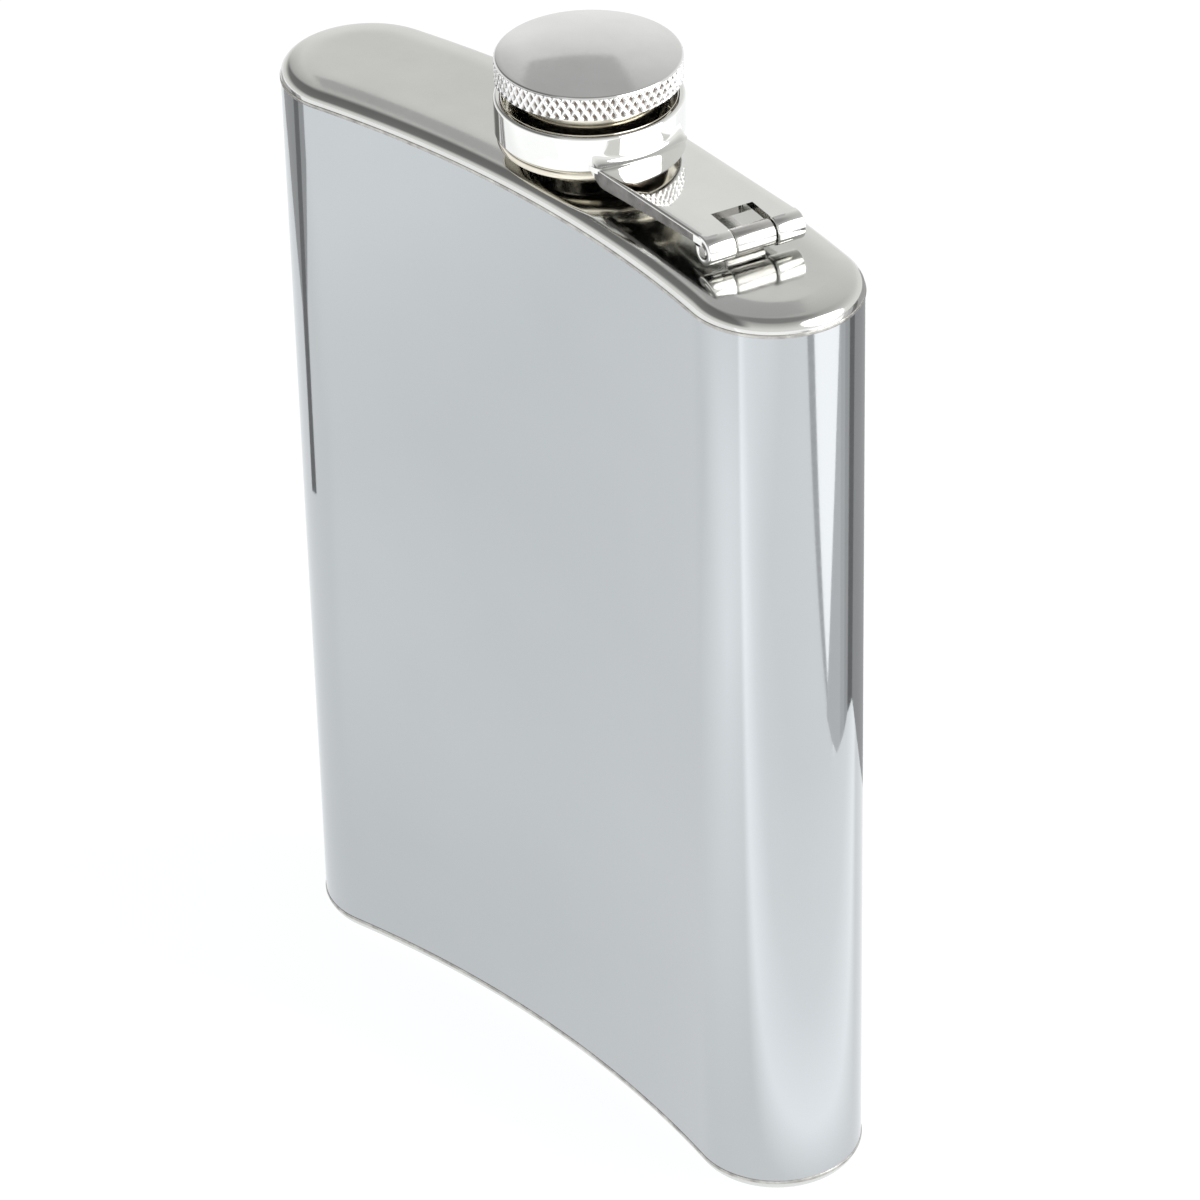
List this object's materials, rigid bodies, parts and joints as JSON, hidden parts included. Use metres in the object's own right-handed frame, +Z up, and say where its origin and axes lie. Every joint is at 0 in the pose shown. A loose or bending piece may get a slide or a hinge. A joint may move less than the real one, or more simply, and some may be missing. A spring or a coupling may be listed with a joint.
{
  "type": "hip flask",
  "caption": "Curved steel hip flask with a knurled screw cap held captive in the collar of a hinged arm.",
  "frame": {"origin": "centre of the flask's bounding box at the level of its flat base", "axes": "+Z up from the base to the cap, +X towards the hinge end, +Y towards the bulging side, -Y towards the hollow side worn against the hip"},
  "size_m": [0.0952, 0.0263, 0.142],
  "materials": {
    "wall": "satin",
    "polished": "polished",
    "seam": "ground",
    "neck": "polished",
    "bracket": "polished",
    "pin": "satin",
    "arm": "polished",
    "cap": "polished",
    "insert": "polished",
    "seal": "matte"
  },
  "bodies": {
    "flask": {"side_wall": "wall", "top_plate": "polished", "bottom_plate": "polished", "top_seam": "seam", "bottom_seam": "seam", "neck": "neck", "neck_thread": "neck", "hinge_bracket": "bracket"},
    "arm": {"captive_arm": "arm", "hinge_pin": "pin"},
    "sealing_disc": {"seal": "seal"},
    "cap": {"cap_shell": "cap", "cap_insert": "insert", "cap_thread": "insert"}
  },
  "joints": [
    {"name": "arm_swing", "type": "hinge", "parent": "flask", "child": "arm", "pos_m": [0.03232, -0.00175, 0.1302], "axis": [0.2079, 0.9781, 0], "range_deg": [0, 180]},
    {"name": "cap_rise", "type": "slide", "parent": "arm", "child": "sealing_disc", "axis": [0, 0, 1], "range_m": [-0.0015, 0]},
    {"name": "cap_turn", "type": "hinge", "parent": "sealing_disc", "child": "cap", "pos_m": [0.0005, 0.0016, 0.1325], "axis": [0, 0, 1], "range_deg": [-360, 0]}
  ],
  "couplings": [
    {"joint": "cap_rise", "follows": "cap_turn", "m_per_rad": 0.00023873}
  ]
}
